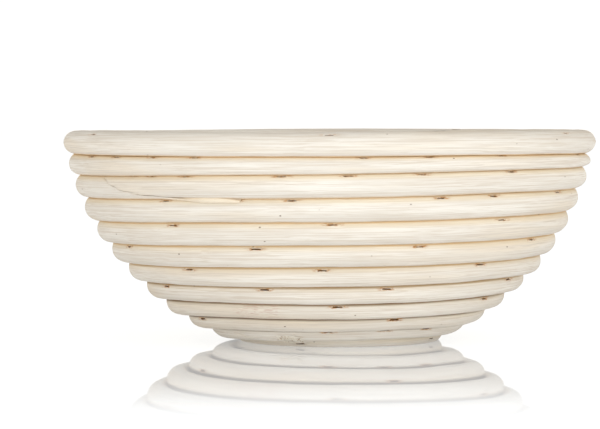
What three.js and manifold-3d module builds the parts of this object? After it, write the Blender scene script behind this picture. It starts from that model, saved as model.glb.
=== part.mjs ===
// Round proofing basket wound from round rattan cane. One spiral of cane makes the flat floor and
// the bowl wall, in three lengths joined by scarf joints. Its top end is shaved to a wedge, so that
// a separate level hoop can sit on it as the rim. Wire staples pin each turn to the turn below.
// Millimetres, +Z up, origin on the table under the middle of the floor.

import * as THREE from "three";
import { mergeVertices } from "three/addons/utils/BufferGeometryUtils.js";
import Module from "manifold-3d";

const wasm = await Module();
wasm.setup();

// Basket
const RIM_DIAMETER = 220; // over the outside of the rim hoop
const BASKET_HEIGHT = 87.5; // from the table to the top of the rim hoop
const FLOOR_DIAMETER = 80; // flat part of the floor, across the middle of its outer turn
const FOOT_SLOPE = 21; // degrees, how steeply the wall leaves the floor
const EYE_RADIUS = 8; // middle of the cane where the spiral starts in the floor

// Cane
const CANE_WIDTH = 10.4; // across the wall
const CANE_HEIGHT = 9.7; // between the flats where turns bear on each other
const CANE_FLAT = 2.6; // width of those flats
const TURN_GAP = 0.6; // between two turns, and between the wall and the hoop
const FOOT_FLAT = 1.1; // depth of the flat that the floor stands on

// Joints in the cane
const WEDGE_ANGLE = 120; // degrees round the basket where the wall's top end lies
const WEDGE_DEPTH = 4.3; // how far that end is lifted by shaving the cane under the hoop
const WEDGE_TURNS = 0.75; // over which the shaving fades
const TIP_THICKNESS = 1.8; // of a shaved cane at its thin end
const SCARF_GAP = 0.5; // between the two halves of a scarf joint
const SCARF_SHOULDER = 0.3; // length of the step where a scarf's face starts
const WALL_SCARF_LENGTH = 70; // joint in the wall, under the rim
const WALL_SCARF_TURN = 1.693; // turns below the wall's top end
const FOOT_SCARF_LENGTH = 38; // joint above the floor
const FOOT_SCARF_TURN = 0.67; // turns above the edge of the floor
const HOOP_SCARF_LENGTH = 70; // joint that closes the hoop
const HOOP_SCARF_ANGLE = 75; // degrees round the basket

// Staples
const STAPLE_CROWN = 5; // over both legs
const STAPLE_LEG = 15; // crown included
const STAPLE_WIRE = 1.2; // wire width, seen from the front
const STAPLE_WIRE_DEPTH = 1;
const STAPLE_CLEARANCE = 0.3; // all round, in the cane
const STAPLE_INSET = 1.2; // below the upper flat of the turn that the crown sits on
const COIL_STAPLES = 48;
const HOOP_STAPLES = 6;
const HOOP_STAPLE_ANGLE = 30; // degrees, first staple of the hoop
const FIRST_STAPLE_TURN = 0.524; // turns below the wall's top end
const LAST_STAPLE_TURN = 1.21; // turns inside the edge of the floor

// Faceting
const STEPS = 24; // per turn
const LEAST_STEP = 0.05; // share of a step, between two rings of a cane

const CANE_COLOUR = 0xe8dcc6;
const STAPLE_COLOUR = 0x6b5238;

// Bowl profile, in the plane of radius and height

const pitch = CANE_HEIGHT + TURN_GAP;
const rim = new THREE.Vector2((RIM_DIAMETER - CANE_WIDTH) / 2, BASKET_HEIGHT - CANE_HEIGHT / 2);
const floorEdge = new THREE.Vector2(FLOOR_DIAMETER / 2, CANE_WIDTH / 2 - FOOT_FLAT);
const footSlope = THREE.MathUtils.degToRad(FOOT_SLOPE);
const chord = rim.clone().sub(floorEdge);
const halfSweep = chord.angle() - footSlope;
const wallRadius = chord.length() / (2 * Math.sin(halfSweep));
const wallLength = wallRadius * 2 * halfSweep;

// Middle of the cane at a distance down the profile from the middle of the hoop.
function profile(down) {
  if (down > wallLength) {
    return new THREE.Vector2(floorEdge.x - (down - wallLength), floorEdge.y);
  }
  const slope = footSlope + 2 * halfSweep * (1 - down / wallLength);
  return new THREE.Vector2(
    floorEdge.x + wallRadius * (Math.sin(slope) - Math.sin(footSlope)),
    floorEdge.y + wallRadius * (Math.cos(footSlope) - Math.cos(slope)),
  );
}

// Spiral, counted in turns down from the wall's top end

const hoopSeat = profile(0).sub(profile(pitch));
const hoopDrop = (hoopSeat.length() - TURN_GAP) / 2;
const firstClimb = climb(1);
const topDrop = TIP_THICKNESS + hoopDrop + TURN_GAP - (firstClimb - TURN_GAP) / 2;
const edgeTurn = (wallLength - topDrop + WEDGE_DEPTH) / pitch;
const eyeTurn = edgeTurn + (floorEdge.x - EYE_RADIUS) / pitch;

// How far a turn lies below the wall's top end, which climbs less steeply where it is shaved.
function climb(turn) {
  return pitch * turn - WEDGE_DEPTH * (1 - Math.exp(-turn / WEDGE_TURNS));
}

function spiralMiddle(turn) {
  return profile(topDrop + climb(turn));
}

function angleOf(turn) {
  return THREE.MathUtils.degToRad(WEDGE_ANGLE) - 2 * Math.PI * turn;
}

// A radial plane through a winding: the cane's middle, the ways to the turns above and below it,
// and how far it reaches towards each.
function spiralPlane(turn) {
  const middle = spiralMiddle(turn);
  const below = spiralMiddle(turn + 1).sub(middle);
  const plane = { angle: angleOf(turn), middle, below: below.clone().normalize() };
  plane.drop = (below.length() - TURN_GAP) / 2;
  if (turn < 1) {
    plane.above = hoopSeat.clone().normalize();
    const room = profile(0).sub(middle).dot(plane.above) - hoopDrop - TURN_GAP;
    plane.rise = Math.min(room, CANE_HEIGHT / 2);
  } else {
    const above = spiralMiddle(turn - 1).sub(middle);
    plane.above = above.clone().normalize();
    plane.rise = (above.length() - TURN_GAP) / 2;
  }
  return plane;
}

function hoopPlane(turn) {
  return {
    angle: angleOf(turn),
    middle: profile(0),
    above: new THREE.Vector2(0, 1),
    below: hoopSeat.clone().normalize().negate(),
    rise: CANE_HEIGHT / 2,
    drop: hoopDrop,
  };
}

// Six-sided cane section

function outward(direction) {
  return new THREE.Vector2(direction.y, -direction.x);
}

function halfWidth(level) {
  return (CANE_WIDTH - ((CANE_WIDTH - CANE_FLAT) * Math.abs(level)) / (CANE_HEIGHT / 2)) / 2;
}

// A point of a radial plane: across is outward from the cane's middle line, level is up the wall.
// The flats square up to the turns above and below, and the section turns evenly between them.
function planePoint(plane, across, level) {
  const share = THREE.MathUtils.clamp((level + plane.drop) / (plane.rise + plane.drop), 0, 1);
  const up = plane.below.clone().negate().lerp(plane.above, share).normalize();
  const point = plane.middle.clone().addScaledVector(outward(up), across);
  if (level > 0) point.addScaledVector(plane.above, level);
  else point.addScaledVector(plane.below, -level);
  return new THREE.Vector3(
    point.x * Math.cos(plane.angle),
    point.x * Math.sin(plane.angle),
    point.y,
  );
}

function planeRing(plane, limits) {
  const low = Math.max(limits.low ?? -plane.drop, -plane.drop);
  const high = Math.min(limits.high ?? plane.rise, plane.rise);
  const middle = low < 0 && high > 0 ? 0 : (low + high) / 2;
  const outer = [low, middle, high].map((level) => planePoint(plane, halfWidth(level), level));
  const inner = [high, middle, low].map((level) => planePoint(plane, -halfWidth(level), level));
  return [...outer, ...inner];
}

// The ring at any turn lies on the straight run between the two steps beside it.
function ringAt(planeOf, turn, limits) {
  const step = Math.floor(turn * STEPS + 1e-6);
  const share = turn * STEPS - step;
  const first = planeRing(planeOf(step / STEPS), limits);
  const second = planeRing(planeOf((step + 1) / STEPS), limits);
  return first.map((point, i) => point.lerp(second[i], share));
}

// Where a point of the winding lies, on the straight run between the two steps beside it.
function pointAt(planeOf, turn, across, level) {
  const step = Math.floor(turn * STEPS);
  const from = planePoint(planeOf(step / STEPS), across, level);
  const to = planePoint(planeOf((step + 1) / STEPS), across, level);
  return from.lerp(to, turn * STEPS - step);
}

// Lengths of cane

// Turns where a length has a ring: every step of the winding, and the ends of its shaved faces.
function ringTurns(marks) {
  const turns = [...marks];
  const last = Math.max(...marks) * STEPS;
  for (let step = Math.ceil(Math.min(...marks) * STEPS); step < last; step += 1) {
    const nearest = Math.min(...marks.map((mark) => Math.abs(mark * STEPS - step)));
    if (nearest > LEAST_STEP) turns.push(step / STEPS);
  }
  return turns.sort((a, b) => a - b);
}

// A scarf joint between two lengths. The upper length keeps what is above the slanted face,
// and the lower length what is below it. Each thin end meets a small shoulder.
function scarfJoint(planeOf, turn, length) {
  const around = 2 * Math.PI * planeOf(turn).middle.x;
  const top = turn - length / around / 2;
  const foot = turn + length / around / 2;
  const play = SCARF_GAP / around;
  const shoulder = SCARF_SHOULDER / around;
  const reach = CANE_HEIGHT / 2 - TIP_THICKNESS;
  const face = (at) => THREE.MathUtils.mapLinear(at, top, foot, -reach, reach);
  return {
    upperMarks: [top - play - shoulder, top - play, foot - play],
    lowerMarks: [top, foot, foot + shoulder],
    upperLimits: (at) => (at < top - play - shoulder / 2 ? {} : { low: face(at) + SCARF_GAP / 2 }),
    lowerLimits: (at) => (at > foot + shoulder / 2 ? {} : { high: face(at) - SCARF_GAP / 2 }),
  };
}

function caneRings(planeOf, marks, limitsAt) {
  return ringTurns(marks).map((turn) => ({ turn, points: ringAt(planeOf, turn, limitsAt(turn)) }));
}

// One unbroken tube through the rings, closed at both ends.
function tubeGeometry(rings) {
  const sides = rings[0].points.length;
  const index = [];
  for (let i = 1; i < rings.length; i += 1) {
    for (let j = 0; j < sides; j += 1) {
      const a = (i - 1) * sides + j;
      const b = (i - 1) * sides + ((j + 1) % sides);
      index.push(a, b, b + sides, a, b + sides, a + sides);
    }
  }
  const end = (rings.length - 1) * sides;
  for (let j = 1; j < sides - 1; j += 1) {
    index.push(0, j + 1, j, end, end + j, end + j + 1);
  }
  const geometry = new THREE.BufferGeometry().setFromPoints(rings.flatMap((ring) => ring.points));
  return geometry.setIndex(index);
}

// Least distance from a winding to itself, between points more than half a turn apart.
function leastGap(rings) {
  let least = Infinity;
  rings.forEach((ring, i) => {
    for (const other of rings.slice(i + 1)) {
      if (other.turn - ring.turn < 0.5) continue;
      for (const p of ring.points) {
        for (const q of other.points) least = Math.min(least, p.distanceTo(q));
      }
    }
  });
  return least;
}

const wallScarf = scarfJoint(spiralPlane, WALL_SCARF_TURN, WALL_SCARF_LENGTH);
const footScarf = scarfJoint(spiralPlane, edgeTurn - FOOT_SCARF_TURN, FOOT_SCARF_LENGTH);
const hoopStart = (WEDGE_ANGLE - HOOP_SCARF_ANGLE) / 360;
const hoopHead = scarfJoint(hoopPlane, hoopStart, HOOP_SCARF_LENGTH);
const hoopTail = scarfJoint(hoopPlane, hoopStart + 1, HOOP_SCARF_LENGTH);

const canes = {
  rim_hoop: caneRings(
    hoopPlane,
    [...hoopHead.lowerMarks, ...hoopTail.upperMarks],
    (turn) => ({ ...hoopHead.lowerLimits(turn), ...hoopTail.upperLimits(turn) }),
  ),
  wall_cane_upper: caneRings(
    spiralPlane,
    [0, ...wallScarf.upperMarks],
    wallScarf.upperLimits,
  ),
  wall_cane_lower: caneRings(
    spiralPlane,
    [...wallScarf.lowerMarks, ...footScarf.upperMarks],
    (turn) => ({ ...wallScarf.lowerLimits(turn), ...footScarf.upperLimits(turn) }),
  ),
  base_coil: caneRings(
    spiralPlane,
    [...footScarf.lowerMarks, eyeTurn],
    footScarf.lowerLimits,
  ),
};

// Solids

function solidOf(geometry) {
  const bare = geometry.clone();
  bare.deleteAttribute("normal");
  bare.deleteAttribute("uv");
  const merged = mergeVertices(bare);
  return new wasm.Manifold(new wasm.Mesh({
    numProp: 3,
    vertProperties: new Float32Array(merged.attributes.position.array),
    triVerts: new Uint32Array(merged.index.array),
  }));
}

function geometryOf(solid) {
  const { vertProperties, triVerts } = solid.getMesh();
  const geometry = new THREE.BufferGeometry();
  geometry.setAttribute("position", new THREE.BufferAttribute(vertProperties, 3));
  geometry.setIndex(new THREE.BufferAttribute(triVerts, 1));
  geometry.computeVertexNormals();
  return geometry;
}

// Staples

// A staple with its crown along X and its legs along Y.
function stapleGeometry() {
  const half = STAPLE_CROWN / 2;
  const gap = half - STAPLE_WIRE;
  const outline = [
    [-half, 0], [half, 0], [half, STAPLE_LEG], [gap, STAPLE_LEG],
    [gap, STAPLE_WIRE], [-gap, STAPLE_WIRE], [-gap, STAPLE_LEG], [-half, STAPLE_LEG],
  ].map(([x, y]) => new THREE.Vector2(x, y));
  const geometry = new THREE.ExtrudeGeometry(new THREE.Shape(outline), {
    depth: STAPLE_WIRE_DEPTH,
    bevelEnabled: false,
  });
  return geometry.translate(0, 0, -STAPLE_WIRE_DEPTH / 2);
}

// The slot that a staple sits in, open at the crown.
function slotGeometry() {
  const opening = STAPLE_INSET + TURN_GAP / 2;
  const length = opening + STAPLE_LEG + STAPLE_CLEARANCE;
  const geometry = new THREE.BoxGeometry(
    STAPLE_CROWN + 2 * STAPLE_CLEARANCE,
    length,
    STAPLE_WIRE_DEPTH + 2 * STAPLE_CLEARANCE,
  );
  return geometry.translate(0, length / 2 - opening, 0);
}

// The crown lies on the upper outer shoulder of a turn, clear of the corners between its steps.
// The legs cross the joint between the flats and end in the turn below.
function staplePlace(planeOf, turn, belowPlaneOf, turnsBelow) {
  const step = Math.floor(turn * STEPS);
  const stepLength = (2 * Math.PI * planeOf(turn).middle.x) / STEPS;
  const margin = Math.min(0.5, (STAPLE_CROWN / 2 + 2 * STAPLE_CLEARANCE) / stepLength);
  const share = THREE.MathUtils.clamp(turn * STEPS - step, margin, 1 - margin);
  const at = (step + share) / STEPS;
  const level = planeOf(at).rise - STAPLE_INSET;
  const crown = pointAt(planeOf, at, halfWidth(level), level);
  const legs = pointAt(belowPlaneOf, at + turnsBelow, -CANE_FLAT / 2, 0).sub(crown);
  const facing = angleOf((step + 0.5) / STEPS);
  const along = new THREE.Vector3(Math.sin(facing), -Math.cos(facing), 0);
  const across = along.clone().cross(legs).normalize();
  const place = new THREE.Matrix4().makeBasis(along, across.clone().cross(along), across);
  return place.setPosition(crown);
}

// The first full turn below the hoop, wherever the wedge under it has got to.
function hoopBelowPlane(turn) {
  return { ...hoopPlane(turn), middle: profile(pitch) };
}

const staplePlaces = [];
for (let i = 0; i < HOOP_STAPLES; i += 1) {
  const turn = (WEDGE_ANGLE - HOOP_STAPLE_ANGLE) / 360 + i / HOOP_STAPLES;
  staplePlaces.push(staplePlace(hoopPlane, turn, hoopBelowPlane, 0));
}
const lastStapleTurn = edgeTurn + LAST_STAPLE_TURN;
for (let i = 0; i < COIL_STAPLES; i += 1) {
  const share = i / (COIL_STAPLES - 1);
  const turn = THREE.MathUtils.lerp(FIRST_STAPLE_TURN, lastStapleTurn, share);
  staplePlaces.push(staplePlace(spiralPlane, turn, spiralPlane, 1));
}

const slots = staplePlaces.map((place) => solidOf(slotGeometry().applyMatrix4(place)));

// Under the table top, which trims the floor to a flat foot
const under = solidOf(
  new THREE.BoxGeometry(RIM_DIAMETER, RIM_DIAMETER, CANE_WIDTH).translate(0, 0, -CANE_WIDTH / 2),
);

// Assembly

const basket = new THREE.Group();
basket.name = "proofing_basket";

for (const [name, rings] of Object.entries(canes)) {
  console.log(`${name}: least gap to itself ${leastGap(rings).toFixed(2)} mm`);
  let solid = solidOf(tubeGeometry(rings)).subtract(under);
  for (const slot of slots) solid = solid.subtract(slot);
  const material = new THREE.MeshStandardMaterial({ color: CANE_COLOUR, roughness: 0.7, metalness: 0 });
  const mesh = new THREE.Mesh(geometryOf(solid), material);
  mesh.name = name;
  basket.add(mesh);
}

staplePlaces.forEach((place, i) => {
  const material = new THREE.MeshStandardMaterial({ color: STAPLE_COLOUR, roughness: 0.4, metalness: 0.8 });
  const staple = new THREE.Mesh(stapleGeometry(), material);
  staple.name = `staple_${String(i + 1).padStart(2, "0")}`;
  staple.applyMatrix4(place);
  basket.add(staple);
});

export default basket;
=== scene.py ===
"""Round proofing basket wound from rattan cane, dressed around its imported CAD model.

The model's four canes get round, slightly uneven sections that touch, with shaved joints and slits
for the staples. Metres, +Z up, origin on the table under the middle of the floor.
"""

import math

import bpy
import numpy as np
from mathutils import Matrix, Vector


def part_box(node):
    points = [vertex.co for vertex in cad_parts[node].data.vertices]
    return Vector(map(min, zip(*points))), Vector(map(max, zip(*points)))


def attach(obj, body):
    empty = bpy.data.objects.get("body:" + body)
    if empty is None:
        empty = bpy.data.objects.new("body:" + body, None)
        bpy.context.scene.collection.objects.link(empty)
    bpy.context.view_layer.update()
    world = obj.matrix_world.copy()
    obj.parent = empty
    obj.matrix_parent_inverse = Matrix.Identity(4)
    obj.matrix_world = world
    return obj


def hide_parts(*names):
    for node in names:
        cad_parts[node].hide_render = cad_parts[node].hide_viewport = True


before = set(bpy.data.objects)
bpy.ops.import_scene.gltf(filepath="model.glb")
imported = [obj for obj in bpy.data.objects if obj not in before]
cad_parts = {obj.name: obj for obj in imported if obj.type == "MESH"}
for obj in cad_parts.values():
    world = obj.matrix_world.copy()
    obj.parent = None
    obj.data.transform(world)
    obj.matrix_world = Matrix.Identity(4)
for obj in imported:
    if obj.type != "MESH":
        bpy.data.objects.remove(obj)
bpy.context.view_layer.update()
rng = np.random.default_rng(20)

MM = 0.001

# Winding, with the CAD model's measures
PITCH = 10.3 * MM  # from turn to turn, down the wall
FLOOR_RADIUS = 40 * MM  # middle of the floor's outer turn
FLOOR_LEVEL = 4.1 * MM  # middle of the cane in the floor
FOOT_SLOPE = math.radians(21)  # how steeply the wall leaves the floor
EYE_RADIUS = 8 * MM  # middle of the cane where the spiral starts in the floor
TOP_DROP = 3.98 * MM  # middle of the wall's top end, below the hoop's middle
WEDGE_ANGLE = math.radians(120)  # round the basket, where the wall's top end lies
WEDGE_DEPTH = 4.3 * MM  # how far that end is lifted by shaving the cane under the hoop
WEDGE_TURNS = 0.75  # over which the shaving fades
HOOP_HALF_WIDTH = 5.2 * MM
HOOP_HALF_HEIGHT = 4.85 * MM

# Where the basket is less even than the model: its hoop is flatter and stands highest at the back right,
# the wall's lowest turn is lifted, and the foot is a little to the right
HOOP_ROUND_HALF = 4.6 * MM
HOOP_SAG = 0.4 * MM
HOOP_TILT, HOOP_TILT_ANGLE = 0.45 * MM, math.radians(60)
FOOT_LIFT, FOOT_LIFT_REACH = 0.8 * MM, 9 * MM  # of that turn, and how far up the wall it goes
FOOT_ASIDE, ASIDE_BELOW = 1.7 * MM, 46 * MM  # of the foot, and the height below which it grows

# Cane
CANE_RADIUS = 5.18 * MM
TOUCH = 0.03 * MM  # how far two turns are pressed into each other
PRESS = 0.045  # how much taller a free section would be than one that is flattened by its neighbours
PRESSED_TURNS = (3.5, 6.5)  # over which that ends, down the wall
SHAVED_WIDTH = 0.18  # how much of its width a shaved cane loses, as a power of its height
JOINT_SHARPNESS = 120  # of the edges that a joint's face leaves
WEDGE_STEP = 0.01  # turns over which the cane makes room for the wedge's thin end
WEDGE_FILL = 2.5 * MM  # most that the cane swells before that, to reach the hoop
END_ROUNDING = 0.9 * MM
END_NARROWING = 0.2  # how much of its size the section loses in that rounding
SHARP_ANGLE = math.radians(42)  # between faces that meet in an edge

# Joints in the cane: middle, in turns below the wall's top end, and length
WALL_SCARF_TURN, WALL_SCARF_LENGTH = 1.693, 70 * MM
FOOT_SCARF_TURN, FOOT_SCARF_LENGTH = 9.70, 38 * MM
HOOP_SCARF_TURN, HOOP_SCARF_LENGTH = 0.125, 70 * MM
SCARF_GAP = 0.01 * MM
TIP = 0.35 * MM  # thickness of a shaved end
WALL_TIP = 0.5 * MM  # thickness of the end that shows at the front of the wall
FRAYED_TIP = 3.4 * MM  # thickness of the end that is left ragged
WALL_SCARF_BEND = 3.0  # how fast the wall's seam bends over, 0 for a straight one
# The thin end in the wall is a sliver that lies in the groove: its middle, half sizes and length
SLIVER_ACROSS, SLIVER_LEVEL = 3.2 * MM, -4.95 * MM
SLIVER_HALF_WIDTH, SLIVER_HALF_HEIGHT = 1.2 * MM, 1.1 * MM
SLIVER_TURNS = 0.062
SLIVER_POINT, SLIVER_POINT_SIZE = 9 * MM, 0.25  # length of its tapered end, and how far it narrows

# Frayed end, with angles up from the section's outer side
FLAKES = 64
FLAKE_ANGLES = (0.0, 0.5)
FLAKE_LENGTHS = (1.5 * MM, 4.5 * MM)
FLAKE_WIDTHS = (0.4 * MM, 1.0 * MM)
FLAKE_LIFTS = (0.3 * MM, 1.4 * MM)
FLAKE_STARTS = (-4 * MM, 4 * MM)
FLAKE_SLANT = 0.35
FRAYED_TURN = 9.645

# Staples
STAPLE_CROWN = 5 * MM
STAPLE_LEG = 15 * MM
STAPLE_WIRE = 0.9 * MM
STAPLE_WIRE_DEPTH = 0.62 * MM
STAPLE_CORNER = 0.8 * MM
STAPLE_POINT, STAPLE_POINT_SIZE = 2 * MM, 0.35  # of a leg's end: its length, and how far it narrows
STAPLE_SHARP_ANGLE = math.radians(50)
STAPLE_SINK = 0.14 * MM  # of the crown, below the cane's surface
LEG_SIDE = 1.3 * MM  # where the legs end, inside the middle of the turn below
CROWN_TURN, CROWN_TILT = 0.03, 0.025  # unevenness of the crowns, round the basket and up
TOP_CROWN_ANGLE = math.radians(68)  # on the section, up from its outer side, at the top of the wall
LOW_CROWN_ANGLE = math.radians(49)  # the same at the edge of the floor
HOOP_CROWN_ANGLE = math.radians(62)
SLIT_HALF_ANGLE = math.radians(2.6)
SLIT_WALL_ANGLE = math.radians(1.2)
SLIT_HALF_LENGTH = 2.6 * MM
SHORTEST_SLIT = 0.5  # share of that length which shows where the cane has closed over the wire
SLIT_DEPTH = 0.3 * MM
SLIT_RAGGEDNESS = 0.8  # of its edges, as a share of its wall
DENT = 0.14 * MM  # how far a staple pulls the cane in around its slit
DENT_LENGTH, DENT_ANGLE = 1.5, 0.32  # as a share of the slit's length, and on the section
COIL_STAPLES = 48
FIRST_STAPLE_TURN = 0.524
LAST_STAPLE_INSIDE = 1.21  # turns inside the edge of the floor
EVEN_STAPLES_INSIDE = 0.4  # turns inside that edge, where staples are even at the front too
HOOP_STAPLES = 6
HOOP_STAPLE_ANGLE = math.radians(30)
# Further staples at the front, turn by turn from the top, in degrees to the right of the middle
FRONT_STAPLES = (
    (-52, -40, -29, 7, 39, 71), (-48, -32, -10, 4, 20), (-39, -8, 25, 39),
    (-39, 44), (-18, 61), (-2,), (-60, 16), (59,), (), (-2, 23),
)
FRONT_MIDDLE = 0.58  # turns from the wall's top end to the front

# What the cane's colour follows, beside the turn
HOOP_PLACE = -1.0  # stands for the hoop in place of a turn
STAIN_REACH = 4 * MM  # how far from a staple the cane is stained
WORN_TURN, WORN_HALF_LENGTH = 7.655, 0.03  # turns, middle and half length of a worn patch

# Faceting
PATH_STEPS = 6000
RING_STEP = 2.6 * MM
END_RINGS = np.array([0, 0.12, 0.35, 0.7, 1])  # shares of the rounding at an end
SLIT_RINGS = np.array([-1.12, -1, -0.55, -0.2, 0.2, 0.55, 1, 1.12])  # shares of a slit's half length
SLIT_CLEARANCE = 1.15  # share of that length which other rings keep away
SIDES = 36
STAPLE_BEND_STEPS, STAPLE_SIDES = 6, 12


# Bowl profile

hoop_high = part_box("rim_hoop")[1]
rim = np.array([hoop_high.x - HOOP_HALF_WIDTH, hoop_high.z - HOOP_HALF_HEIGHT])
floor_edge = np.array([FLOOR_RADIUS, FLOOR_LEVEL])
chord = rim - floor_edge
half_sweep = math.atan2(chord[1], chord[0]) - FOOT_SLOPE
wall_radius = math.hypot(*chord) / (2 * math.sin(half_sweep))
wall_length = wall_radius * 2 * half_sweep
edge_turn = (wall_length - TOP_DROP + WEDGE_DEPTH) / PITCH
eye_turn = edge_turn + (FLOOR_RADIUS - EYE_RADIUS) / PITCH


def smooth_step(value):
    share = np.clip(value, 0, 1)
    return share * share * (3 - 2 * share)


def profile(down):
    """Radius and height of the cane's middle, at a distance down the profile from the hoop's."""
    slope = FOOT_SLOPE + 2 * half_sweep * (1 - down / wall_length)
    radius = FLOOR_RADIUS + wall_radius * (np.sin(slope) - math.sin(FOOT_SLOPE))
    height = FLOOR_LEVEL + wall_radius * (math.cos(FOOT_SLOPE) - np.cos(slope))
    above_floor = (wall_length - down) / FOOT_LIFT_REACH
    height = height + FOOT_LIFT * smooth_step(1.5 * above_floor) * np.exp(-((above_floor - 1) ** 2))
    flat = down > wall_length
    radius = np.where(flat, FLOOR_RADIUS - (down - wall_length), radius)
    return np.stack([radius, np.where(flat, FLOOR_LEVEL, height)], -1)


def down_at(turn):
    """Distance down the profile of a turn of the spiral, which is shaved at its top end."""
    return TOP_DROP + PITCH * turn - WEDGE_DEPTH * (1 - np.exp(-turn / WEDGE_TURNS))


def angle_of(turn):
    return WEDGE_ANGLE - 2 * math.pi * turn


def turn_at(angle, near):
    """The turn at an angle round the basket, in radians, that is nearest to a given one."""
    turn = (WEDGE_ANGLE - angle) / (2 * math.pi)
    return turn + round(near - turn)


# Unevenness

def waves(count, height, longest, shortest, most_around):
    """Slanted waves that add up to an unevenness of about this height."""
    lengths = np.geomspace(longest, shortest, count)
    heights = height * math.sqrt(2 / count) * np.ones(count)
    around = rng.integers(-most_around, most_around + 1, count)
    return list(zip(heights, 2 * math.pi / lengths, around, rng.uniform(0, 2 * math.pi, count)))


def add_up(some_waves, along, around):
    return sum(h * np.sin(k * along + m * around + p) for h, k, m, p in some_waves)


SWAY = waves(9, 0.22 * MM, 140 * MM, 45 * MM, 6)  # of the wall, in and out
LEAN = waves(9, 0.12 * MM, 160 * MM, 60 * MM, 5)  # of the turns, up and down
GIRTH = waves(12, 0.007, 240 * MM, 35 * MM, 0)  # of the cane, as a share of its radius
FACETS = waves(14, 0.008, 110 * MM, 12 * MM, 4)


# Section of a cane

def section(turn, hoop):
    """Middle, directions and half sizes of the section at each turn."""
    down = np.zeros_like(turn) if hoop else down_at(turn)
    angle = angle_of(turn)
    middle = profile(down)
    up = profile(down - PITCH / 2) - profile(down + PITCH / 2)
    up = up / np.linalg.norm(up, axis=-1, keepdims=True)
    out = np.stack([up[..., 1], -up[..., 0]], -1)
    firm = np.clip((edge_turn - turn) / 2, 0, 1)[..., None]
    sway = add_up(SWAY, down, angle)[..., None] * firm
    lean = add_up(LEAN, down, angle)[..., None] * firm
    middle = middle + out * sway + up * lean
    hoop_shift = HOOP_TILT * np.cos(angle - HOOP_TILT_ANGLE) - HOOP_SAG
    if hoop:
        high, low = HOOP_ROUND_HALF + hoop_shift, HOOP_ROUND_HALF - hoop_shift
    else:
        low = np.minimum(CANE_RADIUS, (down_at(turn + 1) - down) / 2 + TOUCH)
        under_turn = np.minimum(CANE_RADIUS, (down - down_at(np.maximum(turn - 1, 0))) / 2 + TOUCH)
        under_hoop = np.minimum(CANE_RADIUS + WEDGE_FILL, down - HOOP_ROUND_HALF + hoop_shift)
        high = under_hoop + (under_turn - under_hoop) * smooth_step((turn - 1) / WEDGE_STEP + 1)
    half = (high + low) / 2
    return {
        "angle": angle,
        "middle": middle,
        "up": up,
        "out": out,
        "raise": high - half,
        "half": half,
        "width": CANE_RADIUS * (half / CANE_RADIUS) ** SHAVED_WIDTH,
    }


def in_plane(at, across, level):
    """Radius and height of points of the sections: across is outward, level is up the wall."""
    return at["middle"] + at["out"] * across[..., None] + at["up"] * level[..., None]


def gap_above(turn, flat, hoop):
    """How far points of a cane are from the turn or the hoop that rests on it."""
    if hoop:
        return np.full(flat.shape[:-1], np.inf)
    gaps = []
    for above in (section(turn, True), section(np.maximum(turn - 1, 0), False)):
        at = beside(above)
        middle = in_plane(at, np.zeros_like(at["raise"]), at["raise"])
        gaps.append(np.linalg.norm(flat - middle, axis=-1) - at["half"])
    return np.where(turn[:, None] < 1, gaps[0], gaps[1])


def in_space(at, across, level):
    """Points of the sections in the model's frame, moved aside with the foot."""
    flat = in_plane(at, across, level)
    aside = FOOT_ASIDE * smooth_step(1 - flat[..., 1] / ASIDE_BELOW)
    x = flat[..., 0] * np.cos(at["angle"]) + aside
    y = flat[..., 0] * np.sin(at["angle"])
    return np.stack([x, y, flat[..., 1]], -1)


def beside(at):
    """The same sections with room for several points each."""
    return {k: v[:, None] for k, v in at.items()}


def pressed(height, turn, hoop):
    """Heights on a section, as shares of its half, flattened where it meets its neighbours."""
    if hoop:
        press = np.where(height < 0, 1 + PRESS, 1)
    else:
        start, end = PRESSED_TURNS
        press = 1 + PRESS * (1 - smooth_step((turn - start) / (end - start)))
    return np.clip(height * press, -1, 1)


# Joints

class Scarf:
    """A slanted joint: the upper length keeps what is above its face, the lower one the rest."""

    def __init__(self, turn, length, hoop=False, tip=TIP, bend=0.0):
        reach = length / (2 * math.pi * section(np.array([turn]), hoop)["middle"][0, 0]) / 2
        self.top, self.foot = turn - reach, turn + reach
        self.lowest, self.highest = tip - CANE_RADIUS, CANE_RADIUS - TIP
        self.bend = bend

    def face(self, turn):
        share = np.clip((turn - self.top) / (self.foot - self.top), 0, 1)
        if self.bend:
            share = np.expm1(self.bend * share) / math.expm1(self.bend)
        return self.lowest + (self.highest - self.lowest) * share

    def below(self, turn):
        """Highest level that the lower length reaches."""
        return np.where(turn > self.foot, np.inf, self.face(turn) - SCARF_GAP / 2)

    def above(self, turn):
        """Lowest level that the upper length reaches."""
        return np.where(turn < self.top, -np.inf, self.face(turn) + SCARF_GAP / 2)


def cut_section(low, high, around):
    """Middle level, and distance from it to the round section, cut off at two levels."""
    bottom = np.maximum(low, -CANE_RADIUS)
    top = np.minimum(high, CANE_RADIUS)
    centre = (bottom + top) / 2
    sine, cosine = np.sin(around), np.cos(around)
    round_part = np.sqrt(CANE_RADIUS**2 - (centre * cosine) ** 2) - centre * sine
    with np.errstate(divide="ignore", invalid="ignore"):
        face = np.where(sine > 0, (high - centre) / sine, (low - centre) / sine)
    face = np.where(np.abs(sine) < 1e-6, np.inf, face)
    p = JOINT_SHARPNESS
    return centre, round_part * (1 + (round_part / face) ** p) ** (-1 / p)


# Meshes

def new_object(name, points, faces, material):
    mesh = bpy.data.meshes.new(name)
    mesh.from_pydata(points, [], faces)
    mesh.shade_smooth()
    mesh.set_sharp_from_angle(angle=SHARP_ANGLE)
    mesh.materials.append(material)
    piece = bpy.data.objects.new(name, mesh)
    bpy.context.scene.collection.objects.link(piece)
    return piece


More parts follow.
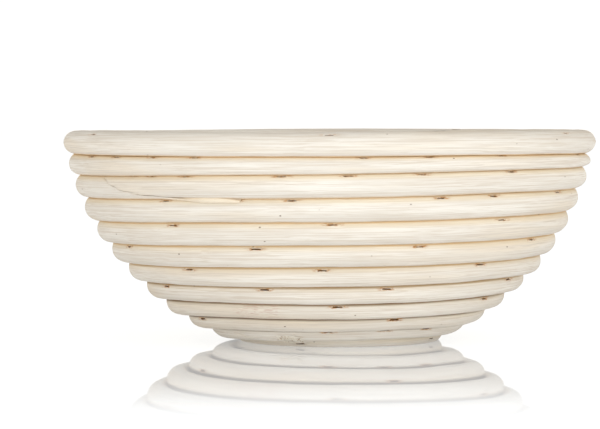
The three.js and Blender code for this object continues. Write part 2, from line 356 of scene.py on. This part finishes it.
def tube_faces(rings, sides):
    """Faces of a closed tube through rings of points, with both ends shut."""
    first = np.arange(rings - 1)[:, None] * sides
    side = np.arange(sides)[None, :]
    following = (side + 1) % sides
    quads = np.stack(
        [first + side, first + following, first + sides + following, first + sides + side], -1
    )
    ends = [list(range(sides))[::-1], list(range((rings - 1) * sides, rings * sides))]
    return quads.reshape(-1, 4).tolist() + ends


def vector_attribute(mesh, name, values):
    attribute = mesh.attributes.new(name, "FLOAT_VECTOR", "POINT")
    attribute.data.foreach_set("vector", np.stack(values, -1).astype(np.float32).ravel())


def crown_angle(turn, hoop):
    """Where the staples' crowns lie on the section at each turn."""
    if hoop:
        return np.full_like(turn, HOOP_CROWN_ANGLE)
    share = np.clip(turn / edge_turn, 0, 1)
    return TOP_CROWN_ANGLE + (LOW_CROWN_ANGLE - TOP_CROWN_ANGLE) * share


def section_angles():
    """Angles of a section's points from the crowns: even ones, and a set for the slits' edges."""
    even = np.arange(SIDES) * 2 * math.pi / SIDES - math.pi
    wall = SLIT_HALF_ANGLE + SLIT_WALL_ANGLE
    even = even[np.abs(even) > wall + 2 * SLIT_WALL_ANGLE]
    slit = np.array([wall, SLIT_HALF_ANGLE, 0.3 * SLIT_HALF_ANGLE])
    return np.sort(np.concatenate([even, slit, -slit]))


def cane_places(start, end, staple_turns, hoop):
    """For each ring, its turn, its length along the cane, and its distance from the nearest staple:
    as a share of that staple's slit, and in metres. Then the cane's whole length."""
    turns = np.linspace(start, end, PATH_STEPS)
    radius = section(turns, hoop)["middle"][:, 0]
    steps = 2 * math.pi * (radius[1:] + radius[:-1]) / 2 * np.diff(turns)
    lengths = np.concatenate([[0], np.cumsum(steps)])
    total = lengths[-1]
    inside = [t for t in staple_turns if start < t < end]
    staples = np.interp(inside, turns, lengths)
    rounding = END_ROUNDING * END_RINGS
    rings = np.linspace(rounding[-1], total - rounding[-1], int(total / RING_STEP))[1:-1]
    ends = np.concatenate([rounding, total - rounding])
    reach = SLIT_HALF_LENGTH * rng.uniform(SHORTEST_SLIT, 1, len(staples))
    gap = np.abs(rings[:, None] - staples[None, :]).min(1)
    rings = rings[gap > SLIT_HALF_LENGTH * SLIT_CLEARANCE]
    slits = staples[:, None] + reach[:, None] * SLIT_RINGS[None, :]
    along = np.concatenate([rings, ends, slits.ravel()])
    along = np.unique(along[(along >= 0) & (along <= total)])
    away = (along[:, None] - staples[None, :]) / reach[None, :]
    off = np.abs(along[:, None] - staples[None, :]).min(1)
    return np.interp(along, lengths, turns), along, np.abs(away).min(1), off, total


def shave_sliver(turn, along, around, across, level):
    """Across and level of a cane's points, shaved to a sliver at its start, and how much each is."""
    thin = smooth_step(1.4 * (1 - (turn - turn[0]) / SLIVER_TURNS))[:, None]
    thin = thin * smooth_step(0.5 + 1.5 * np.cos(around))
    to_point = np.sqrt(np.clip(along / SLIVER_POINT, 0, 1))
    size = SLIVER_POINT_SIZE + (1 - SLIVER_POINT_SIZE) * to_point
    sliver_across = SLIVER_ACROSS + SLIVER_HALF_WIDTH * size * np.cos(around)
    sliver_level = SLIVER_LEVEL + SLIVER_HALF_HEIGHT * (size * (1 + np.sin(around)) - 1)
    return across + thin * (sliver_across - across), level + thin * (sliver_level - level), thin


def make_cane(
    name, node, start, end, staple_turns, material, low=None, high=None, hoop=False, sliver=False
):
    """A round cane along its winding, with a slit for each staple on it."""
    turn, along, staple, off_staple, total = cane_places(start, end, staple_turns, hoop)
    off_crown = section_angles()[None, :]
    at = beside(section(turn, hoop))
    s = along[:, None]
    around = crown_angle(turn, hoop)[:, None] + off_crown

    in_slit = staple[:, None] <= 1.001
    slit_wall = np.abs(np.abs(off_crown) - SLIT_HALF_ANGLE) < 2 * SLIT_WALL_ANGLE
    ragged = rng.normal(0, SLIT_RAGGEDNESS, around.shape) * SLIT_WALL_ANGLE
    around = around + np.where(in_slit & slit_wall, ragged, 0)

    lowest = low(turn)[:, None] if low else np.full_like(s, -np.inf)
    highest = high(turn)[:, None] if high else np.full_like(s, np.inf)
    centre, reach = cut_section(lowest, highest, around)
    reach = reach * (1 + add_up(GIRTH, s, 0) + add_up(FACETS, s, around))
    spread = (staple[:, None] / DENT_LENGTH) ** 2 + (off_crown / DENT_ANGLE) ** 2
    reach = reach - DENT * np.exp(-spread)
    slit = in_slit & (np.abs(off_crown) < SLIT_HALF_ANGLE + SLIT_WALL_ANGLE / 2)
    reach = np.where(slit, reach - SLIT_DEPTH, reach)
    to_end = np.clip(np.minimum(s, total - s) / END_ROUNDING, 0, 1)
    reach = reach * (1 - END_NARROWING * (1 - np.sqrt(1 - (1 - to_end) ** 2)))

    across = reach * np.cos(around) * at["width"] / CANE_RADIUS
    height = (centre + reach * np.sin(around)) / CANE_RADIUS
    level = at["raise"] + at["half"] * pressed(height, turn[:, None], hoop)
    thin = np.zeros_like(across)
    if sliver:
        across, level, thin = shave_sliver(turn, s, around, across, level)
    points = in_space(at, across, level)
    points[..., 2] = np.maximum(points[..., 2], 0)

    piece = new_object(name, points.reshape(-1, 3).tolist(), tube_faces(*across.shape), material)
    place = np.broadcast_to(HOOP_PLACE if hoop else turn[:, None], across.shape)
    # The room to the cane above places the painted groove light
    gap = np.clip(gap_above(turn, in_plane(at, across, level), hoop), 0, CANE_RADIUS)
    off_groove = np.broadcast_to(np.abs(off_crown) * CANE_RADIUS, across.shape)
    near_staple = np.broadcast_to(np.minimum(off_staple, STAIN_REACH)[:, None], across.shape)
    vector_attribute(piece.data, "mark", [near_staple, off_groove, gap])
    vector_attribute(piece.data, "fibre", [np.broadcast_to(s, across.shape), across, level])
    vector_attribute(piece.data, "wall", [thin, (level - at["raise"]) / at["half"], place])
    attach(piece, "root")
    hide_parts(node)


# Staples

def staple_mesh(material):
    """A wire staple with its crown along X and its legs along Y, the crown's top at the origin."""
    half = (STAPLE_CROWN - STAPLE_WIRE) / 2
    top = STAPLE_WIRE / 2
    bend = [
        (half - STAPLE_CORNER + STAPLE_CORNER * math.sin(a), top + STAPLE_CORNER * (1 - math.cos(a)))
        for a in np.linspace(0, math.pi / 2, STAPLE_BEND_STEPS)
    ]
    side = bend + [(half, STAPLE_LEG * 0.6), (half, STAPLE_LEG - STAPLE_POINT), (half, STAPLE_LEG)]
    path = np.array([(-x, y) for x, y in side[::-1]] + side)
    tangent = np.gradient(path, axis=0)
    tangent /= np.linalg.norm(tangent, axis=1, keepdims=True)
    normal = np.stack([-tangent[:, 1], tangent[:, 0]], 1)
    size = np.ones(len(path))
    size[[0, -1]] = STAPLE_POINT_SIZE
    ring = np.linspace(0, 2 * math.pi, STAPLE_SIDES, endpoint=False) + math.pi / STAPLE_SIDES
    squareness = (np.abs(np.cos(ring)) ** 4 + np.abs(np.sin(ring)) ** 4) ** -0.25
    wide = squareness * np.cos(ring) * STAPLE_WIRE / 2
    deep = squareness * np.sin(ring) * STAPLE_WIRE_DEPTH / 2
    flat = path[:, None, :] + normal[:, None, :] * (wide[None, :] * size[:, None])[..., None]
    depth = deep[None, :] * size[:, None]
    points = np.concatenate([flat, depth[..., None]], -1)
    mesh = bpy.data.meshes.new("staple")
    mesh.from_pydata(points.reshape(-1, 3).tolist(), [], tube_faces(len(path), len(ring)))
    mesh.shade_smooth()
    mesh.set_sharp_from_angle(angle=STAPLE_SHARP_ANGLE)
    mesh.materials.append(material)
    return mesh


def make_staple(name, mesh, turn, hoop, node=None):
    """A staple through a turn into the turn below it, its crown sunk in the upper outer side."""
    turns = np.array([turn])
    at = section(turns, hoop)
    share = 1 - (STAPLE_SINK + DENT) / CANE_RADIUS
    on_section = crown_angle(turns, hoop)
    across = share * at["width"] * np.cos(on_section)
    level = at["raise"] + at["half"] * pressed(share * np.sin(on_section), turns, hoop)
    crown = Vector(in_space(at, across, level)[0])
    below = section(turns if hoop else turns + 1, hoop)
    drop = np.array([-PITCH if hoop else 0.0])
    legs = Vector(in_space(below, np.array([-LEG_SIDE]), drop)[0]) - crown
    angle = at["angle"][0] + rng.normal(0, CROWN_TURN)
    along = Vector((math.sin(angle), -math.cos(angle), rng.normal(0, CROWN_TILT)))
    across_way = along.cross(legs).normalized()
    along = legs.cross(across_way).normalized()
    place = Matrix((along, across_way.cross(along), across_way)).transposed().to_4x4()
    place.translation = crown
    staple = bpy.data.objects.new(name, mesh)
    bpy.context.scene.collection.objects.link(staple)
    staple.matrix_world = place
    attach(staple, "root")
    if node:
        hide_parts(node)


def staple_plan():
    """Turns of the model's staples, and of those between them, on the coil and on the hoop."""
    last = edge_turn + LAST_STAPLE_INSIDE
    coil = np.linspace(FIRST_STAPLE_TURN, last, COIL_STAPLES)
    between = []
    for turn in (coil[1:] + coil[:-1]) / 2:
        if turn > edge_turn + EVEN_STAPLES_INSIDE or math.sin(angle_of(turn)) > 0:
            between.append(turn)
    for row, degrees in enumerate(FRONT_STAPLES):
        for degree in degrees:
            between.append(turn_at(math.radians(270 + degree), FRONT_MIDDLE + row))
    hoop_first = (WEDGE_ANGLE - HOOP_STAPLE_ANGLE) / (2 * math.pi)
    hoop = hoop_first + np.arange(HOOP_STAPLES) / HOOP_STAPLES
    return list(coil), sorted(between), list(hoop)


# Frayed end

def make_fray(material, turn):
    """Ragged flakes on the joint above the floor, where the lower length's end was left rough."""
    points, faces = [], []
    sides, steps = 6, 6
    radius = section(np.array([turn]), False)["middle"][0, 0]
    share = np.linspace(0, 1, steps)
    ring = np.linspace(0, 2 * math.pi, sides, endpoint=False)
    for _ in range(FLAKES):
        length = rng.uniform(*FLAKE_LENGTHS)
        width = rng.uniform(*FLAKE_WIDTHS)
        start = rng.uniform(*FLAKE_STARTS)
        slant = rng.normal(0, FLAKE_SLANT)
        lift = rng.uniform(*FLAKE_LIFTS)
        turns = turn + (start - share * length) / (2 * math.pi * radius)
        at = beside(section(turns, False))
        angle = rng.uniform(*FLAKE_ANGLES) + slant * share * length / CANE_RADIUS
        reach = CANE_RADIUS + lift * share**1.5
        half = width * (1 - 0.8 * share**2) / 2
        spoke = reach[:, None] + 0.3 * half[:, None] * np.sin(ring)[None, :]
        turned = angle[:, None] + half[:, None] * np.cos(ring)[None, :] / CANE_RADIUS
        flake = in_space(at, spoke * np.cos(turned), spoke * np.sin(turned))
        base = len(points)
        points += flake.reshape(-1, 3).tolist()
        faces += [[base + i for i in face] for face in tube_faces(steps, sides)]
    piece = new_object("frayed_end", points, faces, material)
    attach(piece, "root")


# Materials

def srgb(red, green, blue):
    """Linear colour from the usual 0 to 255 values."""
    values = [v / 255 for v in (red, green, blue)]
    linear = [v / 12.92 if v <= 0.04045 else ((v + 0.055) / 1.055) ** 2.4 for v in values]
    return (*linear, 1.0)


PALE_CANE = srgb(234, 228, 218)
PALEST_CANE = srgb(244, 239, 230)
WARM_CANE = srgb(234, 218, 194)
STREAK = srgb(224, 214, 201)
FINE_LINE = srgb(219, 208, 193)
STAIN = srgb(188, 130, 56)
# Painted warm bounce light on each band's upper shoulder, just under the groove
PAINTED_BOUNCE_CREAM = srgb(240, 224, 190)
# Painted warm bounce light in the grooves of the upper turns
PAINTED_GROOVE_BOUNCE = srgb(238, 198, 134)
# Painted warm bounce light where a band or the hoop sits on the turn below
PAINTED_SEAT_BOUNCE = srgb(236, 204, 150)
# Painted shade in the grooves of the lower turns
PAINTED_GROOVE_SHADE = srgb(116, 94, 72)
# Painted shade on the lower side of each band
PAINTED_SHADE_GREY = srgb(228, 219, 215)
FRESH_CUT = srgb(246, 235, 213)
SPLIT_FIBRE = srgb(250, 244, 232)
SPLIT_EDGE = srgb(178, 150, 116)
WORN_SPOT = srgb(205, 170, 155)
PORE = srgb(110, 84, 58)
DARK_WIRE = srgb(48, 31, 15)
BROWN_WIRE = srgb(112, 72, 30)

# Length along the cane and width across it of the marks on it
FINE_LINES = (28 * MM, 0.24 * MM)
STREAKS = (50 * MM, 0.55 * MM)
PATCHES = (50 * MM, 4 * MM)
WARM_PATCHES = (90 * MM, 9 * MM)
WORN_GRAIN = (3 * MM, 0.5 * MM)
PORE_CELLS = (8 * MM, 5.5 * MM)
BLOTCHES = (1.6 * MM, 0.35 * MM)
FIBRE_TONES = (1.2 * MM, 1.2 * MM)
WIRE_STAINS = (1.1 * MM, 1.1 * MM)

# Table and light
TABLE_HALF = 20.0
TABLE_WHITE = (0.97, 0.97, 0.97, 1)
# Table glow is painted light; the polished part near the basket is greyer and glows less, a painted soft
# shade
TABLE_SHADE_GREY = (0.86, 0.86, 0.86, 1)
TABLE_GLOW = (0.86, 0.925, 1, 1)
POLISHED_GLOW, MATT_GLOW = 0.19, 0.53
POLISH_FADE = (0.16, 0.37)  # distances from the middle, over which the polish ends
FRONT_LIGHT = (1, 0.985, 0.955, 1)
SIDE_LIGHT = (0.78, 0.71, 0.61, 1)
LAMP_LIGHT = (0.93, 0.97, 1)
LAMP_AIM = (0, 0, 0.04)
# World light by direction: from and to, and strength there. It is dim overhead, brightest in front.
WORLD_BY_HEIGHT = (0.2, 0.6, 1.06, 0.5)
WORLD_BY_DEPTH = (-0.3, 0.1, 1.21, 1.0)
WORLD_ASIDE = (0.4, 0.95)  # shares of the X axis, over which the light turns to that of the sides

# Camera
CAMERA_PLACE = (0, -1.149, 0.0894)
CAMERA_AIM = (-0.01205, 0, 0.0519)
CAMERA_LENS, CAMERA_SENSOR = 166.2, 36  # millimetres


class Nodes:
    """Short ways to add and join the nodes of a material."""

    def __init__(self, name):
        self.material = bpy.data.materials.new(name)
        self.material.use_nodes = True
        self.tree = self.material.node_tree
        self.shader = self.tree.nodes["Principled BSDF"]

    def add(self, kind, settings=None, **inputs):
        node = self.tree.nodes.new(kind)
        for key, value in (settings or {}).items():
            setattr(node, key, value)
        for key, value in inputs.items():
            self.put(node.inputs[key.replace("_", " ")], value)
        return node

    def put(self, socket, value):
        if isinstance(value, bpy.types.NodeSocket):
            self.tree.links.new(value, socket)
        else:
            socket.default_value = value

    def math(self, operation, *values):
        node = self.tree.nodes.new("ShaderNodeMath")
        node.operation = operation
        for socket, value in zip(node.inputs, values):
            self.put(socket, value)
        return node.outputs[0]

    def fade(self, value, start, end, low=0.0, high=1.0):
        """A smooth step of a value, from low at start to high at end."""
        node = self.add("ShaderNodeMapRange", {"interpolation_type": "SMOOTHSTEP"}, Value=value)
        for key, number in zip(("From Min", "From Max", "To Min", "To Max"), (start, end, low, high)):
            node.inputs[key].default_value = number
        return node.outputs[0]

    def stretched(self, vector, along, across):
        """Coordinates in which a noise has this length along the cane and this width across it."""
        node = self.add("ShaderNodeVectorMath", {"operation": "MULTIPLY"})
        self.put(node.inputs[0], vector)
        node.inputs[1].default_value = (1 / along, 1 / across, 1 / across)
        return node.outputs[0]

    def noise(self, vector, detail=2.0, roughness=0.5, distortion=0.0):
        node = self.add("ShaderNodeTexNoise", Vector=vector, Scale=1.0)
        node.inputs["Detail"].default_value = detail
        node.inputs["Roughness"].default_value = roughness
        node.inputs["Distortion"].default_value = distortion
        return node.outputs["Fac"]

    def mix(self, share, first, second):
        node = self.tree.nodes.new("ShaderNodeMix")
        node.data_type = "RGBA"
        self.put(node.inputs[0], share)
        self.put(node.inputs[6], first)
        self.put(node.inputs[7], second)
        return node.outputs[2]


def cane_material():
    """Peeled rattan: pale, dry, with fine fibres along the cane and pores, with painted warm bounce
    light near the grooves and painted shade on the bands' lower sides and in the lower grooves.
    """
    n = Nodes("peeled_rattan")
    fibre = n.add("ShaderNodeAttribute", {"attribute_name": "fibre"}).outputs["Vector"]
    wall = n.add("ShaderNodeAttribute", {"attribute_name": "wall"}).outputs["Vector"]
    parts = n.add("ShaderNodeSeparateXYZ", Vector=wall).outputs
    thin, level, turn = parts[0], parts[1], parts[2]
    mark = n.add("ShaderNodeAttribute", {"attribute_name": "mark"}).outputs["Vector"]
    marks = n.add("ShaderNodeSeparateXYZ", Vector=mark).outputs
    off_staple, off_crown, gap = marks[0], marks[1], marks[2]

    fine = n.noise(n.stretched(fibre, *FINE_LINES), 3.0, 0.6, 0.4)
    streak = n.noise(n.stretched(fibre, *STREAKS), 3.0, 0.6, 0.5)
    patch = n.noise(n.stretched(fibre, *PATCHES), 3.0, 0.5)
    pale = n.mix(n.fade(patch, 0.36, 0.64), PALE_CANE, PALEST_CANE)
    warm = n.noise(n.stretched(fibre, *WARM_PATCHES), 2.0, 0.5)
    warmed = n.mix(n.fade(warm, 0.5, 0.68, 0.0, 0.5), pale, WARM_CANE)
    streaked = n.mix(n.fade(streak, 0.37, 0.5), STREAK, warmed)
    lined = n.mix(n.fade(fine, 0.32, 0.52), FINE_LINE, streaked)

    wound = n.fade(turn, HOOP_PLACE, 0.0)
    # Painted light: a warm cream bounce on each band's upper shoulder, weaker down the wall
    painted_bounce_strength = n.math("MULTIPLY", wound, n.fade(turn, 3.0, 9.0, 0.5, 0.3))
    upper = n.math("MULTIPLY", n.fade(level, 0.6, 0.96), painted_bounce_strength)
    # Painted shade: grey on each band's lower side
    lower = n.fade(level, -0.55, -0.92, 0.0, 0.5)
    # Painted warm bounce light on the underside where the cane sits on the turn below
    seat_bounce_weight = n.math("SUBTRACT", level, n.math("MULTIPLY", wound, 0.13))
    seat_bounce_weight = n.math("MULTIPLY", n.fade(seat_bounce_weight, -0.8, -0.97), n.fade(turn, HOOP_PLACE, 0.0, 0.75, 0.35))
    # Painted light in the grooves: warm bounce in the upper turns, turning to dark shade in the lower
    # ones, where the gap to the cane above is small
    tight = n.math("DIVIDE", gap, n.fade(turn, 2.0, 9.5, 0.9 * MM, 2.2 * MM))
    groove = n.math("MULTIPLY", n.fade(tight, 0.5, 1.0, 1.0, 0.0), n.fade(turn, 2.0, 8.5, 0.45, 1.0))
    painted_groove_light = n.mix(n.fade(turn, 3.0, 9.0), PAINTED_GROOVE_BOUNCE, PAINTED_GROOVE_SHADE)
    # Lay the painted light and shade onto the cane's own colour
    tan = n.mix(upper, lined, PAINTED_BOUNCE_CREAM)
    tan = n.mix(lower, tan, PAINTED_SHADE_GREY)
    tan = n.mix(seat_bounce_weight, tan, PAINTED_SEAT_BOUNCE)
    tan = n.mix(groove, tan, painted_groove_light)
    fresh = n.mix(n.math("MULTIPLY", thin, 0.6), tan, FRESH_CUT)

    away = n.math("ABSOLUTE", n.math("SUBTRACT", turn, WORN_TURN))
    rubbed = n.fade(away, 0.6 * WORN_HALF_LENGTH, WORN_HALF_LENGTH, 1.0, 0.0)
    grain = n.noise(n.stretched(fibre, *WORN_GRAIN), 3.0, 0.6)
    rubbed = n.math("MULTIPLY", rubbed, n.fade(grain, 0.5, 0.62))
    worn = n.mix(n.math("MULTIPLY", rubbed, 0.5), fresh, WORN_SPOT)

    cells = n.add("ShaderNodeTexVoronoi", {"feature": "F1"}, Scale=1.0)
    n.put(cells.inputs["Vector"], n.stretched(fibre, *PORE_CELLS))
    pick = n.add("ShaderNodeSeparateColor", Color=cells.outputs["Color"]).outputs[0]
    near = n.fade(cells.outputs["Distance"], 0.03, 0.065, 1.0, 0.0)
    speck = n.math("MULTIPLY", near, n.fade(pick, 0.3, 0.36))
    pored = n.mix(n.math("MULTIPLY", speck, 0.85), worn, PORE)

    close = n.fade(off_staple, 0.5 * STAIN_REACH, STAIN_REACH, 1.0, 0.0)
    stained = n.math("MULTIPLY", close, n.fade(off_crown, 0.35 * MM, 0.9 * MM, 1.0, 0.0))
    blotch = n.noise(n.stretched(fibre, *BLOTCHES), 3.0, 0.6)
    stained = n.math("MULTIPLY", stained, n.fade(blotch, 0.42, 0.58))
    stained = n.math("MULTIPLY", stained, n.fade(turn, edge_turn - 0.3, edge_turn + 0.1, 1.0, 0.0))
    stained = n.math("MULTIPLY", stained, n.fade(turn, HOOP_PLACE, 0.0, 0.45, 0.85))
    n.put(n.shader.inputs["Base Color"], n.mix(stained, pored, STAIN))

    n.put(n.shader.inputs["Roughness"], n.fade(fine, 0.25, 0.75, 0.8, 0.62))
    n.shader.inputs["Specular IOR Level"].default_value = 0.3
    relief = n.math("ADD", n.math("MULTIPLY", fine, 0.5), n.math("MULTIPLY", streak, 0.6))
    relief = n.math("SUBTRACT", relief, n.math("MULTIPLY", speck, 1.2))
    bump = n.add("ShaderNodeBump", Height=relief, Strength=0.45, Distance=0.13 * MM)
    n.put(n.shader.inputs["Normal"], bump.outputs[0])
    return n.material


def split_material():
    """Fresh, pale fibre where the cane has split."""
    n = Nodes("split_fibre")
    place = n.add("ShaderNodeTexCoord").outputs["Object"]
    tone = n.noise(n.stretched(place, *FIBRE_TONES), 2.0, 0.6)
    n.put(n.shader.inputs["Base Color"], n.mix(n.fade(tone, 0.34, 0.42), SPLIT_EDGE, SPLIT_FIBRE))
    n.shader.inputs["Roughness"].default_value = 0.8
    return n.material


def staple_material():
    """Bronzed staple wire, dull and stained by the damp cane."""
    n = Nodes("bronzed_wire")
    place = n.add("ShaderNodeTexCoord").outputs["Object"]
    stain = n.noise(n.stretched(place, *WIRE_STAINS), 3.0, 0.6)
    n.put(n.shader.inputs["Base Color"], n.mix(n.fade(stain, 0.35, 0.65), DARK_WIRE, BROWN_WIRE))
    n.put(n.shader.inputs["Roughness"], n.fade(stain, 0.3, 0.7, 0.8, 0.6))
    n.shader.inputs["Specular IOR Level"].default_value = 0.15
    bump = n.add("ShaderNodeBump", Height=stain, Strength=0.3, Distance=0.05 * MM)
    n.put(n.shader.inputs["Normal"], bump.outputs[0])
    return n.material


def floor_material():
    """White table top, polished near the basket and matt further out. It glows as painted light, and
    near the basket it is greyer and glows less, which paints a soft shade around the basket.
    """
    n = Nodes("white_table")
    n.shader.inputs["Base Color"].default_value = TABLE_SHADE_GREY
    n.shader.inputs["Roughness"].default_value = 0.01
    n.shader.inputs["Emission Color"].default_value = TABLE_GLOW
    n.shader.inputs["Emission Strength"].default_value = POLISHED_GLOW
    matt = n.add("ShaderNodeBsdfPrincipled")
    matt.inputs["Base Color"].default_value = TABLE_WHITE
    matt.inputs["Specular IOR Level"].default_value = 0.0
    matt.inputs["Emission Color"].default_value = TABLE_GLOW
    matt.inputs["Emission Strength"].default_value = MATT_GLOW
    place = n.add("ShaderNodeTexCoord").outputs["Object"]
    distance = n.add("ShaderNodeVectorMath", {"operation": "LENGTH"})
    n.put(distance.inputs[0], place)
    blend = n.add("ShaderNodeMixShader", Fac=n.fade(distance.outputs["Value"], *POLISH_FADE))
    n.put(blend.inputs[1], n.shader.outputs[0])
    n.put(blend.inputs[2], matt.outputs[0])
    n.put(n.tree.nodes["Material Output"].inputs["Surface"], blend.outputs[0])
    return n.material


# Stage

def make_floor():
    half = TABLE_HALF
    corners = [(-half, -half, 0), (half, -half, 0), (half, half, 0), (-half, half, 0)]
    mesh = bpy.data.meshes.new("floor")
    mesh.from_pydata(corners, [], [(0, 1, 2, 3)])
    mesh.materials.append(floor_material())
    floor = bpy.data.objects.new("floor", mesh)
    bpy.context.scene.collection.objects.link(floor)


def make_world():
    world = bpy.data.worlds.new("white_studio")
    world.use_nodes = True
    nodes, links = world.node_tree.nodes, world.node_tree.links
    direction = nodes.new("ShaderNodeTexCoord")
    parts = nodes.new("ShaderNodeSeparateXYZ")
    links.new(direction.outputs["Generated"], parts.inputs[0])
    aside = nodes.new("ShaderNodeMath")
    aside.operation = "ABSOLUTE"
    links.new(parts.outputs["X"], aside.inputs[0])
    colour = nodes.new("ShaderNodeValToRGB")
    colour.color_ramp.interpolation = "EASE"
    stops = colour.color_ramp.elements
    stops[0].position, stops[1].position = WORLD_ASIDE
    stops[0].color, stops[1].color = FRONT_LIGHT, SIDE_LIGHT
    links.new(aside.outputs[0], colour.inputs[0])
    links.new(colour.outputs["Color"], nodes["Background"].inputs["Color"])
    strength = nodes.new("ShaderNodeMath")
    strength.operation = "MULTIPLY"
    for i, (axis, numbers) in enumerate((("Z", WORLD_BY_HEIGHT), ("Y", WORLD_BY_DEPTH))):
        fade = nodes.new("ShaderNodeMapRange")
        fade.interpolation_type = "SMOOTHSTEP"
        links.new(parts.outputs[axis], fade.inputs["Value"])
        for key, number in zip(("From Min", "From Max", "To Min", "To Max"), numbers):
            fade.inputs[key].default_value = number
        links.new(fade.outputs[0], strength.inputs[i])
    links.new(strength.outputs[0], nodes["Background"].inputs["Strength"])
    bpy.context.scene.world = world


def make_softbox(name, size, place, power, mirrored):
    """A soft rectangular light, aimed at the middle of the basket, that the table mirrors or not."""
    lamp = bpy.data.lights.new(name, "AREA")
    lamp.shape = "RECTANGLE"
    lamp.size, lamp.size_y = size
    lamp.energy = power
    lamp.color = LAMP_LIGHT
    softbox = bpy.data.objects.new(name, lamp)
    softbox.visible_glossy = mirrored
    softbox.location = place
    aim = Vector(LAMP_AIM) - softbox.location
    softbox.rotation_euler = aim.to_track_quat("-Z", "Y").to_euler()
    bpy.context.scene.collection.objects.link(softbox)


def make_camera():
    data = bpy.data.cameras.new("camera")
    data.sensor_width = CAMERA_SENSOR
    data.lens = CAMERA_LENS
    data.clip_end = 100
    camera = bpy.data.objects.new("camera", data)
    camera.location = CAMERA_PLACE
    aim = Vector(CAMERA_AIM) - camera.location
    camera.rotation_euler = aim.to_track_quat("-Z", "Y").to_euler()
    bpy.context.scene.collection.objects.link(camera)
    bpy.context.scene.camera = camera


# Assembly

rattan = cane_material()
wire = staple_material()

coil_turns, between_turns, hoop_turns = staple_plan()
coil_slits = coil_turns + between_turns

wall_scarf = Scarf(WALL_SCARF_TURN, WALL_SCARF_LENGTH, tip=WALL_TIP, bend=WALL_SCARF_BEND)
foot_scarf = Scarf(FOOT_SCARF_TURN, FOOT_SCARF_LENGTH, tip=FRAYED_TIP)
hoop_head = Scarf(HOOP_SCARF_TURN, HOOP_SCARF_LENGTH, hoop=True)
hoop_tail = Scarf(HOOP_SCARF_TURN + 1, HOOP_SCARF_LENGTH, hoop=True)

make_cane(
    "rim_hoop_cane", "rim_hoop", hoop_head.top, hoop_tail.foot, hoop_turns, rattan,
    low=hoop_tail.above, high=hoop_head.below, hoop=True,
)
make_cane(
    "upper_wall_cane", "wall_cane_upper", 0.0, wall_scarf.foot, coil_slits, rattan,
    low=wall_scarf.above,
)
make_cane(
    "lower_wall_cane", "wall_cane_lower", wall_scarf.top, foot_scarf.foot, coil_slits, rattan,
    low=foot_scarf.above, high=wall_scarf.below, sliver=True,
)
make_cane(
    "base_coil_cane", "base_coil", foot_scarf.top, eye_turn, coil_slits, rattan,
    high=foot_scarf.below,
)
make_fray(split_material(), FRAYED_TURN)

staple = staple_mesh(wire)
model_staples = [(turn, True) for turn in hoop_turns] + [(turn, False) for turn in coil_turns]
for i, (turn, on_hoop) in enumerate(model_staples):
    make_staple(f"staple_wire_{i + 1:02d}", staple, turn, on_hoop, node=f"staple_{i + 1:02d}")
for i, turn in enumerate(between_turns):
    make_staple(f"staple_between_{i + 1:02d}", staple, turn, False)

make_floor()
make_world()
make_softbox("softbox", size=(1.2, 1.2), place=(0.9, -1.3, 0.9), power=4.4, mirrored=False)
make_softbox("low_fill", size=(1.6, 0.12), place=(0, -1.3, 0.07), power=3.4, mirrored=True)
make_camera()
bpy.context.scene.view_settings.view_transform = "Standard"

bpy.context.view_layer.update()
